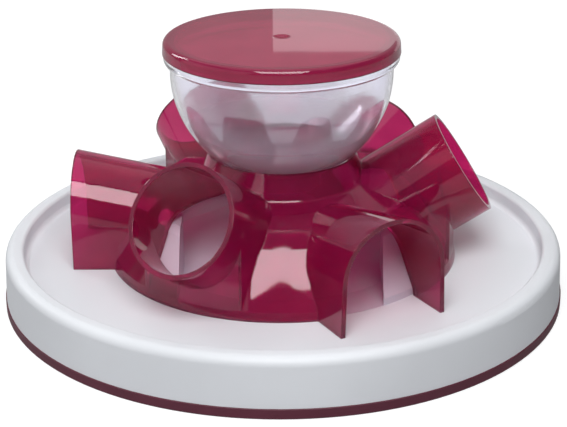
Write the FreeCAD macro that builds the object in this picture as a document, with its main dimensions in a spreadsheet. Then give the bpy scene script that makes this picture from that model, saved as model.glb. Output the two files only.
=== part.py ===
import FreeCAD, Part
import math
import os
import re

import Sketcher
from FreeCAD import Rotation, Vector

# A cat puzzle feeder: a food bowl on a hub with six tunnels, standing in a round tray.
# Millimetres. The origin is the middle of the face that it stands on, +Z is up.
# Azimuth 0 is +X. The slanted tubes point to 0, 120 and 240 degrees, the arches to
# 60, 180 and 300 degrees.

SIZES = [
    ("wall", 2.2, "wall of the mouldings"),
    ("play", 0.4, "gap between parts that lift off each other"),
    ("overlap", 5.0, "how far hidden ends run into or past what they meet"),
    ("join", 0.4, "how far the forms of one moulding run into each other"),
    ("reach", 200.0, "half the room that cutting forms take up"),
    # Tray and the soft ring round its lower edge
    ("tray_radius", 137.2, "outside of the tray just above the ring"),
    ("tray_top_radius", 136.4, "outside of the tray below its rounded rim"),
    ("rim_height", 28.0, "top of the tray's rim"),
    ("rim_round", 4.4, "round on the outside of the rim"),
    ("rim_inner_round", 1.6, "round on the inside of the rim"),
    ("dish_wall_radius", 127.4, "steep wall inside the rim"),
    ("cove_round", 2.4, "hollow corner between that wall and the floor"),
    ("floor_height", 19.5, "upper face of the tray's floor"),
    ("seat_radius", 82.0, "recess in the floor that takes the distributor"),
    ("seat_depth", 1.5, "depth of that recess"),
    ("ring_radius", 137.7, "outside of the soft ring"),
    ("ring_height", 5.0, "height of the soft ring outside"),
    ("ring_web", 1.6, "soft material under the tray's edge"),
    ("ring_lip", 2.2, "thickness of the soft ring's lips"),
    ("ring_edge", 0.6, "bevel on the soft ring's edges"),
    ("rib_count", 12, "ribs under the tray"),
    ("rib_wall", 1.8, "thickness of a rib"),
    ("rib_foot", 8.0, "lower edge of the ribs"),
    ("rib_start", 30.0, "inner end of the ribs"),
    # Hub
    ("hub_radius", 85.5, "hub at the floor"),
    ("band_radius", 84.5, "hub at the top of its upright band"),
    ("band_height", 24.0, "top of the upright band"),
    ("skirt_radius", 83.8, "skirts under the tubes, at their top"),
    ("bevel_radius", 69.6, "where the steep wall turns into the bevel below the shoulder"),
    ("bevel_height", 47.5, "height of that turn"),
    ("shoulder_radius", 62.0, "where the bevel turns into the shoulder"),
    ("shoulder_height", 54.4, "height of that turn"),
    ("shoulder_round", 5.0, "round on both turns"),
    ("collar_foot_round", 1.5, "inside corner at the collar's foot"),
    ("collar_foot_radius", 40.1, "foot of the collar"),
    ("collar_foot_height", 59.3, "height of the collar's foot"),
    ("collar_radius", 36.4, "top of the collar"),
    ("collar_height", 72.1, "height of the collar's top"),
    # Slanted tubes
    ("tube_radius", 26.7, "outside of a slanted tube"),
    ("tube_slant", 32.7, "angle of the tubes above the floor, degrees"),
    ("tube_mouth_reach", 88.0, "middle of a tube's mouth, from the axis"),
    ("tube_mouth_height", 65.2, "height of that point"),
    ("tube_run", 62.0, "length of a tube to its hidden inner end"),
    ("skirt_half_width", 26.3, "skirt under a tube, half its width"),
    # Arches
    ("arch_reach", 101.0, "mouth of an arch, from the axis"),
    ("arch_draft", 1.9, "lean of an arch's side walls, degrees"),
    ("arch_radius", 26.5, "round top of an arch"),
    ("arch_spring_height", 43.6, "where the round top starts, at the mouth"),
    ("arch_fall", 12.0, "slope of the roof down to the hub, degrees"),
    ("arch_run", 70.0, "length of an arch to its hidden inner end"),
    ("past_mouth", 8.0, "how far the hollow forms stand out of the mouths"),
    # Distributor
    ("core_radius", 81.8, "disc of the distributor"),
    ("cone_slope", 28.0, "slope of the cone, degrees"),
    ("cone_height", 51.0, "tip of the cone"),
    ("cone_nose", 12.0, "round of the tip"),
    ("block_side", 47.0, "upright side of a block, from the feeder's axis"),
    ("block_height", 49.0, "top of the blocks"),
    ("block_turn", 30.0, "turn of a block's two sides from the line across it, degrees"),
    ("block_round", 3.2, "round on a block's inner corner"),
    ("insert_wall", 2.0, "wall of the distributor"),
    # Bowl and lid
    ("bowl_radius", 53.3, "outside of the bowl"),
    ("bowl_centre", 111.9, "height of the middle of the bowl's round bottom"),
    ("bowl_wall", 1.8, "wall of the bowl"),
    ("bowl_top", 125.8, "top edge of the bowl"),
    ("bowl_edge_radius", 54.5, "edge of the bowl inside the lid"),
    ("bowl_rim_radius", 56.2, "thick rim of the bowl below the lid"),
    ("bowl_rim_foot", 116.5, "lower side of that rim"),
    ("neck_radius", 19.0, "outlet in the bowl's bottom, outside"),
    ("neck_foot", 55.5, "lower end of the outlet"),
    ("lid_radius", 56.7, "outside of the lid"),
    ("lid_top", 128.0, "top of the lid"),
    ("lid_foot", 121.6, "lower edge of the lid"),
    ("lid_wall", 1.8, "wall of the lid's skirt"),
    ("lid_round", 2.6, "round on the lid's upper edge"),
    ("plug_radius", 51.1, "ring inside the lid that fits the bowl"),
    ("plug_foot", 121.6, "lower end of that ring"),
    ("plug_wall", 1.5, "wall of that ring"),
    ("lid_draft", 0.3, "how much narrower the lid gets from its lower edge to its round"),
    ("dimple_radius", 4.3, "hollow in the middle of the lid"),
    ("dimple_depth", 1.0, "depth of that hollow"),
]

# Outside of the hub's dome from the floor to the collar's top
DOME_CORNERS = [
    ("hub_radius", "floor_height"),
    ("band_radius", "band_height"),
    ("bevel_radius", "bevel_height"),
    ("shoulder_radius", "shoulder_height"),
    ("collar_foot_radius", "collar_foot_height"),
    ("collar_radius", "collar_height"),
]

FUNCTIONS = {"sin", "cos", "tan", "sqrt", "abs"}
ORIGIN_POINT = (-1, 1)
HORIZONTAL_AXIS, VERTICAL_AXIS = -1, -2
# Tolerances: for a coordinate of zero, and for the place of an edge
ZERO, NEAR = 1e-9, 0.01

doc = FreeCAD.newDocument("cat_puzzle_feeder")
sheet = doc.addObject("Spreadsheet::Sheet", "Sizes")
for row, (alias, amount, note) in enumerate(SIZES, start=1):
    sheet.set(f"A{row}", note)
    sheet.set(f"B{row}", str(amount))
    sheet.setAlias(f"B{row}", alias)
doc.recompute()


def on_sheet(formula):
    """The formula with each size's name pointing at the sheet."""
    def name(match):
        word = match.group(0)
        return word if word in FUNCTIONS else f"Sizes.{word}"
    return re.sub(r"[a-z_]+", name, formula)


def number(formula):
    """What a formula in the sizes' names comes to."""
    result = sheet.evalExpression(formula)
    return float(getattr(result, "Value", result))


def bind(item, **formulas):
    """Ties properties of an object to the sheet; a double underscore stands for a dot."""
    for key, formula in formulas.items():
        item.setExpression(key.replace("__", "."), on_sheet(formula))


def hold(sketch, point, axis, formula):
    """Fixes one coordinate of a sketch point."""
    amount = number(formula)
    if abs(amount) < ZERO:
        rail = VERTICAL_AXIS if axis == "X" else HORIZONTAL_AXIS
        sketch.addConstraint(Sketcher.Constraint("PointOnObject", *point, rail))
        return
    ends = (*ORIGIN_POINT, *point) if amount > 0 else (*point, *ORIGIN_POINT)
    index = sketch.addConstraint(Sketcher.Constraint("Distance" + axis, *ends, abs(amount)))
    signed = formula if amount > 0 else f"-({formula})"
    sketch.setExpression(f"Constraints[{index}]", on_sheet(signed))


def arc_through(start, end, radius, side):
    """Arc from start to end; side 1 turns left on the way, -1 turns right."""
    chord = end - start
    middle = (start + end) * 0.5
    across = Vector(-chord.y, chord.x, 0).normalize()
    centre = middle + across * (side * math.sqrt(max(radius ** 2 - chord.Length ** 2 / 4, 0)))
    first, last = (start, end) if side > 0 else (end, start)
    angles = [math.atan2(p.y - centre.y, p.x - centre.x) for p in (first, last)]
    if angles[1] <= angles[0]:
        angles[1] += 2 * math.pi
    return Part.ArcOfCircle(Part.Circle(centre, Vector(0, 0, 1), radius), *angles)


def outline(sketch, corners):
    """Closed outline. A corner is (x, y), or (x, y, radius, side) for an arc that ends there."""
    places = [Vector(number(c[0]), number(c[1]), 0) for c in corners]
    count = len(corners)
    starts, ends = [], []
    for i, corner in enumerate(corners):
        before = places[i - 1]
        if len(corner) == 4:
            edge = sketch.addGeometry(arc_through(before, places[i], number(corner[2]), corner[3]))
            index = sketch.addConstraint(Sketcher.Constraint("Radius", edge, number(corner[2])))
            sketch.setExpression(f"Constraints[{index}]", on_sheet(corner[2]))
            tips = (1, 2) if corner[3] > 0 else (2, 1)
        else:
            edge = sketch.addGeometry(Part.LineSegment(before, places[i]))
            tips = (1, 2)
        starts.append((edge, tips[0]))
        ends.append((edge, tips[1]))
    for i in range(count):
        following = starts[(i + 1) % count]
        sketch.addConstraint(Sketcher.Constraint("Coincident", *ends[i], *following))
        hold(sketch, ends[i], "X", corners[i][0])
        hold(sketch, ends[i], "Y", corners[i][1])


def new_body(name):
    body = doc.addObject("PartDesign::Body", name)
    body.Label = name
    return body


def origin_feature(body, role):
    return next(f for f in body.Origin.OriginFeatures if f.Role == role)


def new_sketch(body, name, plane="XZ_Plane", **offset):
    """Sketch on an origin plane of its body, moved or turned by formulas."""
    sketch = body.newObject("Sketcher::SketchObject", name)
    sketch.AttachmentSupport = [(origin_feature(body, plane), "")]
    sketch.MapMode = "FlatFace"
    for key, formula in offset.items():
        sketch.setExpression("AttachmentOffset." + key.replace("__", "."), on_sheet(formula))
    return sketch


def revolve(body, name, corners, cut=False):
    """Turns an outline of radii and heights once round the Z axis."""
    sketch = new_sketch(body, name + "_profile")
    outline(sketch, corners)
    kind = "PartDesign::Groove" if cut else "PartDesign::Revolution"
    feature = body.newObject(kind, name)
    feature.Profile = sketch
    feature.ReferenceAxis = (sketch, ["V_Axis"])
    feature.Angle = 360
    finish(body, feature)
    return feature


def finish(body, feature):
    for sketch in [o for o in feature.OutList if o.isDerivedFrom("Sketcher::SketchObject")]:
        sketch.Visibility = False
    body.Tip = feature
    doc.recompute()


def pad(body, name, sketch, length, cut=False, **settings):
    feature = body.newObject("PartDesign::Pocket" if cut else "PartDesign::Pad", name)
    feature.Profile = sketch
    for key, setting in settings.items():
        setattr(feature, key, setting)
    bind(feature, Length=length)
    finish(body, feature)
    return feature


def around(body, name, features, count="3"):
    """Repeats features round the Z axis."""
    pattern = body.newObject("PartDesign::PolarPattern", name)
    pattern.Originals = features
    pattern.Axis = (origin_feature(body, "Z_Axis"), [""])
    pattern.Angle = 360
    bind(pattern, Occurrences=count)
    finish(body, pattern)
    return pattern


def is_level(edge, height):
    """True for an edge that lies at one height."""
    box = edge.BoundBox
    return abs(box.ZMin - height) < NEAR and abs(box.ZMax - height) < NEAR


def soften(body, name, radius, wanted):
    """Rounds the edges of the body that the test picks out."""
    base = body.Tip
    names = [f"Edge{i}" for i, edge in enumerate(base.Shape.Edges, start=1) if wanted(edge)]
    if not names:
        raise RuntimeError(name + " finds no edge")
    fillet = body.newObject("PartDesign::Fillet", name)
    fillet.Base = (base, names)
    bind(fillet, Radius=radius)
    finish(body, fillet)
    return fillet


def tray():
    """Dish with a rounded rim, open below, with a recess for the distributor and ribs."""
    body = new_body("tray")
    revolve(body, "dish", [
        ("0", "floor_height - seat_depth - wall"),
        ("seat_radius + wall", "floor_height - seat_depth - wall"),
        ("seat_radius + wall", "floor_height - wall"),
        ("dish_wall_radius + wall", "floor_height - wall"),
        ("dish_wall_radius + wall", "rim_height - wall"),
        ("tray_top_radius - wall", "rim_height - wall"),
        ("ring_radius - ring_lip - wall", "ring_web"),
        ("ring_radius - ring_lip", "ring_web"),
        ("ring_radius - ring_lip", "ring_height"),
        ("tray_radius", "ring_height"),
        ("tray_top_radius", "rim_height - rim_round"),
        ("tray_top_radius - rim_round", "rim_height", "rim_round", 1),
        ("dish_wall_radius + rim_inner_round", "rim_height"),
        ("dish_wall_radius", "rim_height - rim_inner_round", "rim_inner_round", 1),
        ("dish_wall_radius", "floor_height + cove_round"),
        ("dish_wall_radius - cove_round", "floor_height", "cove_round", -1),
        ("seat_radius", "floor_height"),
        ("seat_radius", "floor_height - seat_depth"),
        ("0", "floor_height - seat_depth"),
    ])
    sketch = new_sketch(body, "rib_outline", "XY_Plane", Base__z="rib_foot")
    outline(sketch, [
        ("rib_start", "-rib_wall / 2"),
        ("tray_top_radius - wall / 2", "-rib_wall / 2"),
        ("tray_top_radius - wall / 2", "rib_wall / 2"),
        ("rib_start", "rib_wall / 2"),
    ])
    rib = pad(body, "rib", sketch, "floor_height - wall - rib_foot + join")
    around(body, "ribs", [rib], "rib_count")
    return body


def anti_slip_ring():
    """Soft channel pushed on to the tray's lower edge."""
    body = new_body("anti_slip_ring")
    inner = "ring_radius - ring_lip - wall"
    channel = "ring_radius - ring_lip"
    revolve(body, "channel", [
        (f"{inner} - ring_lip", "0"),
        ("ring_radius - ring_edge", "0"),
        ("ring_radius", "ring_edge"),
        ("ring_radius", "ring_height - ring_edge / 2"),
        ("ring_radius - ring_edge / 2", "ring_height"),
        (channel, "ring_height"),
        (channel, "ring_web"),
        (inner, "ring_web"),
        (inner, "ring_height + ring_edge"),
        (f"{inner} - ring_lip + ring_edge", "ring_height + ring_edge"),
    ])
    return body


def drawn_in(inset):
    """The dome's corners moved in square to the walls that meet there, as formulas.

    The lowest and the highest corner stay at their height.
    """
    places = [Vector(number(x), number(y), 0) for x, y in DOME_CORNERS]
    inward = [Vector(a.y - b.y, b.x - a.x, 0).normalize() for a, b in zip(places, places[1:])]
    moved = []
    for i, (x, y) in enumerate(DOME_CORNERS):
        if 0 < i < len(inward):
            shift = (inward[i - 1] + inward[i]) / (1 + inward[i - 1].dot(inward[i]))
        else:
            shift = Vector(1 / inward[min(i, len(inward) - 1)].x, 0, 0)
        moved.append((f"{x} + ({inset}) * ({shift.x:.5f})", f"{y} + ({inset}) * ({shift.y:.5f})"))
    return moved


def dome(name, inset, past_collar):
    """Middle of the hub: upright band, steep wall, bevel, shoulder and collar."""
    body = new_body(name)
    walls = drawn_in(inset)
    top = [(walls[-1][0], f"collar_height + {past_collar}")] if past_collar else []
    revolve(body, name + "_turn", [
        ("0", "floor_height - overlap"),
        (walls[0][0], "floor_height - overlap"),
        *walls,
        *top,
        ("0", f"collar_height + {past_collar or 0}"),
    ])
    bevel, shoulder, foot = [number(height) for _, height in walls[2:5]]
    soften(
        body, name + "_shoulder", f"shoulder_round - ({inset})",
        lambda edge: is_level(edge, bevel) or is_level(edge, shoulder),
    )
    soften(
        body, name + "_collar_foot", f"collar_foot_round + {inset}",
        lambda edge: is_level(edge, foot),
    )
    return body


def skirts(name, inset):
    """Upright walls under the slanted tubes, ending at the dome's base circle."""
    body = new_body(name)
    sketch = new_sketch(body, name + "_side")
    outline(sketch, [
        ("0", "0"),
        ("tube_mouth_reach", "0"),
        ("tube_mouth_reach", "tube_mouth_height"),
        ("0", "tube_mouth_height - tube_mouth_reach * tan(tube_slant)"),
    ])
    skirt = pad(body, name + "_pad", sketch, f"2 * (skirt_half_width - {inset})", Midplane=True)
    around(body, name + "_three", [skirt])
    revolve(body, name + "_trim", [
        (f"hub_radius - {inset}", "-overlap"),
        ("reach", "-overlap"),
        ("reach", "tube_mouth_height + overlap"),
        (f"skirt_radius - {inset}", "tube_mouth_height + overlap"),
        (f"skirt_radius - {inset}", "tube_mouth_height"),
        (f"band_radius - {inset}", "band_height"),
        (f"hub_radius - {inset}", "floor_height"),
    ], cut=True)
    return body


def tubes(name, inset, past_mouth):
    """Three round tunnels that slant upwards, square cut at their mouths."""
    body = new_body(name)
    sketch = new_sketch(
        body, name + "_mouth", "XY_Plane",
        Base__x=f"tube_mouth_reach + {past_mouth} * cos(tube_slant)",
        Base__z=f"tube_mouth_height + {past_mouth} * sin(tube_slant)",
    )
    offset = sketch.AttachmentOffset
    offset.Rotation = Rotation(Vector(0, 1, 0), 90 - number("tube_slant"))
    sketch.AttachmentOffset = offset
    sketch.setExpression("AttachmentOffset.Rotation.Angle", on_sheet("90 - tube_slant"))
    circle = sketch.addGeometry(Part.Circle(Vector(), Vector(0, 0, 1), number("tube_radius")))
    sketch.addConstraint(Sketcher.Constraint("Coincident", circle, 3, *ORIGIN_POINT))
    index = sketch.addConstraint(Sketcher.Constraint("Radius", circle, number("tube_radius")))
    sketch.setExpression(f"Constraints[{index}]", on_sheet(f"tube_radius - {inset}"))
    tube = pad(body, name + "_pad", sketch, f"tube_run + {past_mouth}", Reversed=True)
    around(body, name + "_three", [tube])
    return body


def arches(name, inset, past_mouth):
    """Three tunnels with upright walls and a round roof that falls towards the hub."""
    body = new_body(name)
    sketch = new_sketch(body, name + "_mouth", "YZ_Plane", Base__z=f"-(arch_reach + {past_mouth})")
    top = f"(arch_radius - {inset})"
    spring = f"(arch_spring_height + {past_mouth} * tan(arch_fall))"
    foot = f"{top} / cos(arch_draft) + ({spring} + overlap) * tan(arch_draft)"
    turn = (f"{top} * cos(arch_draft)", f"{spring} + {top} * sin(arch_draft)")
    outline(sketch, [
        (f"-({foot})", "-overlap"),
        (foot, "-overlap"),
        turn,
        ("0", f"{spring} + {top}", top, 1),
        (f"-({turn[0]})", turn[1], top, 1),
    ])
    fall = math.radians(number("arch_fall"))
    arch = pad(
        body, name + "_pad", sketch, f"(arch_run + {past_mouth}) / cos(arch_fall)",
        UseCustomVector=True, AlongSketchNormal=False,
        Direction=Vector(math.cos(fall), 0, -math.sin(fall)),
    )
    around(body, name + "_three", [arch])
    return body


def joined(name, shapes):
    fusion = doc.addObject("Part::MultiFuse", name)
    fusion.Shapes = shapes
    doc.recompute()
    return fusion


def less(name, base, tool):
    cut = doc.addObject("Part::Cut", name)
    cut.Base, cut.Tool = base, tool
    doc.recompute()
    return cut


def hub():
    """Cover with six tunnels: its outer form less its inner form and the bowl's seat."""
    outer = joined("hub_outer", [
        dome("dome_outer", "0", ""), skirts("skirts_outer", "0"),
        tubes("tubes_outer", "0", "0"), arches("arches_outer", "0", "0"),
    ])
    inner = joined("hub_inner", [
        dome("dome_inner", "wall", "past_mouth"), skirts("skirts_inner", "wall"),
        tubes("tubes_inner", "wall", "past_mouth"), arches("arches_inner", "wall", "past_mouth"),
    ])
    seat = doc.addObject("Part::Sphere", "bowl_seat")
    bind(seat, Radius="bowl_radius + play", Placement__Base__z="bowl_centre")
    under_floor = doc.addObject("Part::Cylinder", "under_floor")
    bind(under_floor, Radius="tray_radius", Height="floor_height + tray_radius")
    bind(under_floor, Placement__Base__z="-tray_radius")
    cover = less("hub", outer, joined("hub_hollows", [inner, seat, under_floor]))
    cover.Label = "hub"
    return cover


def bowl():
    """Clear bowl with a round bottom, a short outlet and a thick rim that carries the lid."""
    body = new_body("bowl")
    inside = "bowl_radius - bowl_wall"
    bore = "neck_radius - bowl_wall"
    rim_round = "(bowl_rim_radius - bowl_radius)"
    revolve(body, "bowl_wall", [
        (bore, "neck_foot"),
        ("neck_radius", "neck_foot"),
        ("neck_radius", "bowl_centre - sqrt(bowl_radius * bowl_radius - neck_radius * neck_radius)"),
        ("bowl_radius", "bowl_centre", "bowl_radius", 1),
        ("bowl_radius", "bowl_rim_foot"),
        ("bowl_rim_radius", f"bowl_rim_foot + {rim_round}", rim_round, 1),
        ("bowl_rim_radius", "lid_foot - play"),
        ("bowl_edge_radius", "lid_foot - play"),
        ("bowl_edge_radius", "bowl_top"),
        (inside, "bowl_top"),
        (inside, "bowl_centre"),
        (bore, f"bowl_centre - sqrt(({inside}) * ({inside}) - ({bore}) * ({bore}))", inside, -1),
    ])
    return body


def lid():
    """Press-on lid with a rounded edge, a hollow on top and a ring that fits inside the bowl."""
    body = new_body("lid")
    dimple = "(dimple_radius * dimple_radius + dimple_depth * dimple_depth) / (2 * dimple_depth)"
    revolve(body, "cap", [
        ("0", "bowl_top"),
        ("plug_radius - plug_wall", "bowl_top"),
        ("plug_radius - plug_wall", "plug_foot"),
        ("plug_radius", "plug_foot"),
        ("plug_radius", "bowl_top"),
        ("lid_radius - lid_wall", "bowl_top"),
        ("lid_radius - lid_wall", "lid_foot"),
        ("lid_radius", "lid_foot"),
        ("lid_radius - lid_draft", "lid_top - lid_round"),
        ("lid_radius - lid_draft - lid_round", "lid_top", "lid_round", 1),
        ("dimple_radius", "lid_top"),
        ("0", "lid_top - dimple_depth", dimple, -1),
    ])
    return body


def is_inner(edge, reach):
    """True for an upright edge at a distance from the Z axis."""
    ends = [vertex.Point for vertex in edge.Vertexes]
    upright = len(ends) == 2 and math.hypot(ends[0].x - ends[1].x, ends[0].y - ends[1].y) < NEAR
    return upright and abs(math.hypot(ends[0].x, ends[0].y) - number(reach)) < NEAR


def core(name, inset, foot):
    """Form of the distributor above its disc: a cone and three blocks, drawn in by inset."""
    body = new_body(name)
    top = f"(cone_height - {inset} / cos(cone_slope))"
    turn_radius = "cone_nose * sin(cone_slope)"
    turn_height = f"({top} - cone_nose + cone_nose * cos(cone_slope))"
    cone_foot = f"{turn_radius} + ({turn_height} - floor_height) / tan(cone_slope)"
    revolve(body, name + "_cone", [
        ("0", foot),
        (cone_foot, foot),
        (cone_foot, "floor_height"),
        (turn_radius, turn_height),
        ("0", top, "cone_nose", 1),
    ])
    sketch = new_sketch(body, name + "_block_plan", "XY_Plane", Base__z=foot)
    apex = f"(block_side + {inset}) / cos(block_turn)"
    back = f"{apex} + core_radius * tan(block_turn)"
    outline(sketch, [("0", apex), ("core_radius", back), ("-core_radius", back)])
    block = pad(body, name + "_block", sketch, f"block_height - ({foot}) - {inset}")
    around(body, name + "_blocks", [block])
    soften(body, name + "_block_corners", f"block_round - {inset}", lambda edge: is_inner(edge, apex))
    band, bevel, shoulder = drawn_in(f"wall + play + {inset}")[1:4]
    revolve(body, name + "_trim", [
        (band[0], "0"),
        ("reach", "0"),
        ("reach", shoulder[1]),
        shoulder,
        bevel,
        band,
    ], cut=True)
    return body


def distributor():
    """Disc with a cone under the outlet and three blocks that part the food, hollow below."""
    disc = doc.addObject("Part::Cylinder", "disc")
    bind(disc, Radius="core_radius", Height="seat_depth")
    bind(disc, Placement__Base__z="floor_height - seat_depth")
    form = joined("distributor_form", [disc, core("core_outer", "0", "floor_height - seat_depth / 2")])
    insert = less("distributor", form, core("core_inner", "insert_wall", "floor_height - overlap"))
    insert.Label = "distributor"
    return insert


parts = [tray(), anti_slip_ring(), distributor(), hub(), bowl(), lid()]
doc.recompute()

broken = [o.Name for o in doc.Objects if {"Invalid", "Error"} & set(o.State)]
if broken:
    raise RuntimeError("failed objects: " + ", ".join(broken))
os.makedirs("parts", exist_ok=True)
for part in parts:
    if part.Shape.isNull() or not part.Shape.isValid():
        raise RuntimeError(part.Label + " has no valid shape")
for part in parts:
    part.Shape.exportStep(f"parts/{part.Label}.step")
    print(part.Label, len(part.Shape.Solids), "solid", round(part.Shape.Volume / 1000, 1), "cm3")
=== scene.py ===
import math

import bpy
from mathutils import Matrix, Vector

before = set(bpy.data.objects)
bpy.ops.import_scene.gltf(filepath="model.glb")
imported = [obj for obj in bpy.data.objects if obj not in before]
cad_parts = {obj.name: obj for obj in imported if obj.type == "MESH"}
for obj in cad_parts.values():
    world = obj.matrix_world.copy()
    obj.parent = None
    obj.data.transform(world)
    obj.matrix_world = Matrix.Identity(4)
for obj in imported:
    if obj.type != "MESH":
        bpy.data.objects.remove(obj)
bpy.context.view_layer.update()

# A cat puzzle feeder. Metres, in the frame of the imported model: the feeder stands on
# z = 0, its axis is the Z axis, and one of the slanted tubes points to +X.

# Camera, as fitted to the round outlines of tray, lid and collar in the photograph.
# Picture and focal length are in pixels, the sensor in millimetres, angles in degrees.
PICTURE_WIDTH = 567
FOCAL_PIXELS = 1488.0
SENSOR = 36.0
CAMERA_OUT, CAMERA_UP = 0.6835, 0.3141
CAMERA_DOWN, CAMERA_YAW, CAMERA_ROLL = 22.01, 0.03, -0.38
# Camera and lamps go round the feeder by this much, as it stood a little turned
FEEDER_TURN = 1.0

# The bowl is fully scuffed up to one height and glassy above the other
BOWL_SCUFFED, BOWL_GLASSY = 0.078, 0.1

# The floor glows by one share near the feeder and by the other far from it
FLOOR_SIDE = 8
GLOW_NEAR, GLOW_FAR = 0.3, 1.6
GLOW_NEAR_SHARE, GLOW_FAR_SHARE = 0.74, 1.0
# What reflections see of the floor's glow
GLOW_IN_GLOSS = 0.25

# The room's light for what doesn't see it directly, and the part of the room where it turns
# from dim to pale, as the Y of the direction
ROOM_DIM, ROOM_PALE = 0.08, 0.38
ROOM_TURNS, ROOM_TURNED = 0.2, 0.9


def colour(code):
    """Linear colour from an sRGB hex code."""
    parts = [int(code[i:i + 2], 16) / 255 for i in (1, 3, 5)]
    return [c / 12.92 if c <= 0.04045 else ((c + 0.055) / 1.055) ** 2.4 for c in parts] + [1]


def add(tree, kind, links=(), **settings):
    """One node with its settings and its links: (input, other node, output)."""
    node = tree.nodes.new(kind)
    for key, setting in settings.items():
        if key in node.bl_rna.properties and key not in node.inputs:
            setattr(node, key, setting)
        else:
            node.inputs[key.replace("_", " ")].default_value = setting
    for socket, other, output in links:
        tree.links.new(other.outputs[output], node.inputs[socket])
    return node


def material(name, ior):
    """New material with its tree, its Principled shader and its Object coordinates."""
    made = bpy.data.materials.new(name)
    made.use_nodes = True
    tree = made.node_tree
    shader = tree.nodes["Principled BSDF"]
    shader.inputs["IOR"].default_value = ior
    place = add(tree, "ShaderNodeTexCoord")
    return made, tree, shader, place


def drifting_tint(tree, shader, pattern, low, high, span):
    """Base colour that drifts between two hex codes over a span of a pattern's values."""
    tint = add(tree, "ShaderNodeValToRGB", [("Fac", pattern, "Fac")])
    for element, position, code in zip(tint.color_ramp.elements, span, (low, high)):
        element.position = position
        element.color = colour(code)
    tree.links.new(tint.outputs["Color"], shader.inputs["Base Color"])


def fine_grain(tree, shader, place, scale, strength, depth):
    """Grain of the mould on a surface: cells in a metre, strength, and depth in metres."""
    grain = add(tree, "ShaderNodeTexNoise", [("Vector", place, "Object")], Scale=scale, Detail=1.0)
    bump = add(tree, "ShaderNodeBump", [("Height", grain, "Fac")],
               Strength=strength, Distance=depth)
    tree.links.new(bump.outputs["Normal"], shader.inputs["Normal"])


def moulded_white(name, low, high):
    """White ABS, injection moulded with a fine satin texture: cool white, soft gloss."""
    made, tree, shader, place = material(name, 1.52)
    # The tint wanders by a few percent over hand-sized areas, as on a large moulding
    drift = add(tree, "ShaderNodeTexNoise", [("Vector", place, "Object")], Scale=14.0, Detail=2.0)
    drifting_tint(tree, shader, drift, low, high, (0.35, 0.65))
    # Spark-eroded grain, drawn 0.8 mm coarse where the real one is about 0.2 mm
    fine_grain(tree, shader, place, 1250.0, 0.06, 0.00012)
    gloss = add(tree, "ShaderNodeMapRange", [("Value", drift, "Fac")], To_Min=0.44, To_Max=0.52)
    tree.links.new(gloss.outputs["Result"], shader.inputs["Roughness"])
    return made


def tinted_berry(name, deep, light, clearness, ior):
    """Tinted clear plastic, polished: dark berry red that glows where light comes through."""
    made, tree, shader, place = material(name, ior)
    shader.inputs["Transmission Weight"].default_value = clearness
    # The tint streams a little with the flow of the plastic, in bands of some 20 mm
    flow = add(tree, "ShaderNodeTexNoise", [("Vector", place, "Object")], Scale=45.0, Detail=2.0)
    drifting_tint(tree, shader, flow, deep, light, (0.3, 0.7))
    # A moulding is never quite flat: swells 25 mm apart and 0.005 mm high bend reflections
    swell = add(tree, "ShaderNodeTexNoise", [("Vector", place, "Object")], Scale=40.0, Detail=0.0)
    # The mould's edges are broken by 0.7 mm, which shows as a thin bright line along each edge
    edge = add(tree, "ShaderNodeBevel", samples=4, Radius=0.0007)
    bump = add(tree, "ShaderNodeBump", [("Height", swell, "Fac"), ("Normal", edge, "Normal")],
               Strength=1.0, Distance=0.000005)
    tree.links.new(bump.outputs["Normal"], shader.inputs["Normal"])
    # The polish is a little duller in some of the bands than in others
    polish = add(tree, "ShaderNodeMapRange", [("Value", flow, "Fac")], To_Min=0.015, To_Max=0.035)
    tree.links.new(polish.outputs["Result"], shader.inputs["Roughness"])
    return made


def soft_berry():
    """Thermoplastic elastomer, moulded: matt, dark berry red, slightly grainy."""
    made, tree, shader, place = material("matt_berry_elastomer", 1.5)
    shader.inputs["Roughness"].default_value = 0.62
    # Its shade is uneven in patches of some 17 mm
    shade = add(tree, "ShaderNodeTexNoise", [("Vector", place, "Object")], Scale=60.0, Detail=3.0)
    drifting_tint(tree, shader, shade, "#541A2E", "#5C2034", (0.3, 0.7))
    # Grain of a blasted mould, drawn 0.7 mm coarse where the real one is about 0.1 mm
    fine_grain(tree, shader, place, 1500.0, 0.2, 0.0002)
    return made


def clear_bowl():
    """Clear styrene acrylonitrile, polished: glassy above, and milky where use has scuffed it."""
    made, tree, shader, place = material("clear_lilac_san", 1.5)
    shader.inputs["Coat Weight"].default_value = 1.0
    shader.inputs["Coat Roughness"].default_value = 0.03
    # The faint lilac is uneven in patches of some 33 mm
    cast = add(tree, "ShaderNodeTexNoise", [("Vector", place, "Object")], Scale=30.0, Detail=2.0)
    drifting_tint(tree, shader, cast, "#F2F1FC", "#F9F9FE", (0.3, 0.7))
    # Fine scratches haze it from the outlet to 26 mm below the rim
    height = add(tree, "ShaderNodeSeparateXYZ", [("Vector", place, "Object")])
    for socket, scuffed, glassy in (("Transmission Weight", 0.62, 0.95), ("Roughness", 0.2, 0.05)):
        level = add(tree, "ShaderNodeMapRange", [("Value", height, "Z")], From_Min=BOWL_SCUFFED,
                    From_Max=BOWL_GLASSY, To_Min=scuffed, To_Max=glassy)
        tree.links.new(level.outputs["Result"], shader.inputs[socket])
    return made


def dress(node, made):
    """Give a CAD node its material. Its mesh stays as it is."""
    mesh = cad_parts[node].data
    mesh.materials.clear()
    mesh.materials.append(made)


dress("tray", moulded_white("satin_white_abs", "#DBDEE3", "#E1E4E9"))
# The distributor gets a greyer, lilac copy of the white: painted shade, and painted light tinted
# by the berry walls around it
dress("distributor", moulded_white("satin_white_abs_painted_lilac_shade", "#C8BECB", "#CEC4D1"))
dress("anti_slip_ring", soft_berry())
dress("hub", tinted_berry("polished_berry_acrylic", "#B01B5C", "#C22868", 0.78, 1.52))
dress("lid", tinted_berry("polished_berry_lid", "#AE1A50", "#BA285A", 0.5, 1.57))
dress("bowl", clear_bowl())


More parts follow.
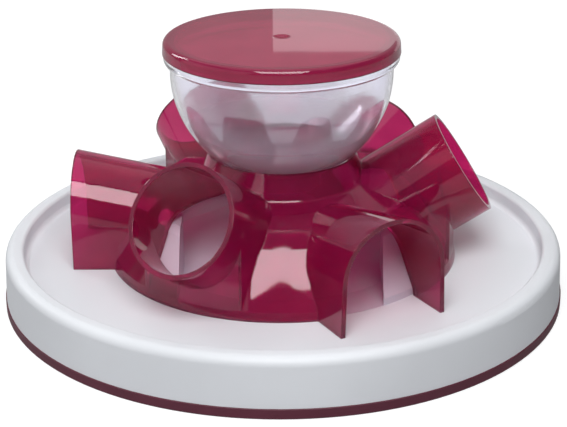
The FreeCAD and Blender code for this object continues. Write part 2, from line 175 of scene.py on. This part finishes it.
def turned(place):
    """A place given as seen from the camera, with the feeder's small turn taken in."""
    return Matrix.Rotation(math.radians(FEEDER_TURN), 3, "Z") @ Vector(place)


def softbox(name, place, target, size, radiance):
    """Rectangular light at a place, turned to a target; its radiance is in parts of white."""
    light = bpy.data.lights.new(name, "AREA")
    light.shape = "RECTANGLE"
    light.size, light.size_y = size
    light.energy = radiance * math.pi * size[0] * size[1]
    lamp = bpy.data.objects.new(name, light)
    lamp.location = turned(place)
    aim = turned(target) - turned(place)
    lamp.rotation_euler = aim.to_track_quat("-Z", "Y").to_euler()
    bpy.context.scene.collection.objects.link(lamp)


# The main light hangs above the camera, and the front panel mirrors it
softbox("softbox_front", (0, -0.662, 0.930), (0, 0, 0.05), (0.72, 0.63), 7.7)
# Dim light from above
softbox("softbox_above", (0, 0.4, 1.6), (0, 0, 0), (2.0, 2.0), 0.5)
# An upright card behind on the right, which the lid mirrors as its paler half
softbox("card_back_right", (0.767, 1.5, 0.28), (0.767, 0, 0.28), (1.56, 0.56), 0.56)
# A large dim card on the left
softbox("card_left", (-1.4, -0.6, 0.6), (0, 0, 0.05), (2.4, 1.6), 0.5)
# A narrow bright strip behind on the left
softbox("strip_back_left", (-1.1, 0.75, 0.75), (0, 0, 0.1), (0.25, 0.6), 8)


def seen_directly(tree, in_gloss):
    """1 for the camera and through clear plastic, and a given part of that for reflections."""
    path = add(tree, "ShaderNodeLightPath")
    gloss = add(tree, "ShaderNodeMath", [(0, path, "Is Glossy Ray"), (2, path, "Is Camera Ray")],
                operation="MULTIPLY_ADD")
    gloss.inputs[1].default_value = in_gloss
    return add(tree, "ShaderNodeMath", [(0, gloss, 0), (1, path, "Is Transmission Ray")],
               operation="ADD", use_clamp=True)


def backdrop():
    """Pale paper floor that takes shadows; what sees it directly sees it nearly white."""
    bpy.ops.object.select_all(action="DESELECT")
    bpy.ops.mesh.primitive_plane_add(size=FLOOR_SIDE, location=(0, 0, 0))
    floor = bpy.context.object
    floor.name = "floor"
    made, tree, shader, place = material("pale_paper", 1.45)
    shader.inputs["Base Color"].default_value = colour("#A0A0A2")
    shader.inputs["Roughness"].default_value = 0.9
    shader.inputs["Emission Color"].default_value = colour("#FFFFFF")
    # The lamps reach less far out, so the paper glows more there
    out = add(tree, "ShaderNodeVectorMath", [(0, place, "Object")], operation="LENGTH")
    share = add(tree, "ShaderNodeMapRange", [("Value", out, "Value")], From_Min=GLOW_NEAR,
                From_Max=GLOW_FAR, To_Min=GLOW_NEAR_SHARE, To_Max=GLOW_FAR_SHARE)
    seen = seen_directly(tree, GLOW_IN_GLOSS)
    glow = add(tree, "ShaderNodeMath", [(0, seen, 0), (1, share, "Result")], operation="MULTIPLY")
    tree.links.new(glow.outputs[0], shader.inputs["Emission Strength"])
    floor.data.materials.append(made)


def studio():
    """Room that is pale behind the feeder and dim in front of it, and white where it is seen."""
    world = bpy.data.worlds.new("studio")
    bpy.context.scene.world = world
    world.use_nodes = True
    tree = world.node_tree
    sky = tree.nodes["Background"]
    sky.inputs["Color"].default_value = colour("#FFFFFF")
    direction = add(tree, "ShaderNodeTexCoord")
    split = add(tree, "ShaderNodeSeparateXYZ", [("Vector", direction, "Generated")])
    depth = add(tree, "ShaderNodeMapRange", [("Value", split, "Y")], From_Min=ROOM_TURNS,
                From_Max=ROOM_TURNED, To_Min=ROOM_DIM, To_Max=ROOM_PALE)
    seen = seen_directly(tree, 0.0)
    level = add(tree, "ShaderNodeMath", [(0, depth, "Result"), (1, seen, 0)], operation="MAXIMUM")
    tree.links.new(level.outputs[0], sky.inputs["Strength"])


def make_camera():
    """Camera of the photograph: out and up from the feeder, turned down and aside, and rolled."""
    lens = bpy.data.cameras.new("camera")
    lens.sensor_width = SENSOR
    lens.lens = FOCAL_PIXELS * SENSOR / PICTURE_WIDTH
    camera = bpy.data.objects.new("camera", lens)
    bpy.context.scene.collection.objects.link(camera)
    turn = Matrix.Rotation(math.radians(FEEDER_TURN), 4, "Z")
    place = Matrix.Translation((0, -CAMERA_OUT, CAMERA_UP))
    yaw = Matrix.Rotation(math.radians(-CAMERA_YAW), 4, "Z")
    tilt = Matrix.Rotation(math.radians(90 - CAMERA_DOWN), 4, "X")
    roll = Matrix.Rotation(math.radians(CAMERA_ROLL), 4, "Z")
    camera.matrix_world = turn @ place @ yaw @ tilt @ roll
    bpy.context.scene.camera = camera


backdrop()
studio()
make_camera()
bpy.context.scene.view_settings.view_transform = "Standard"
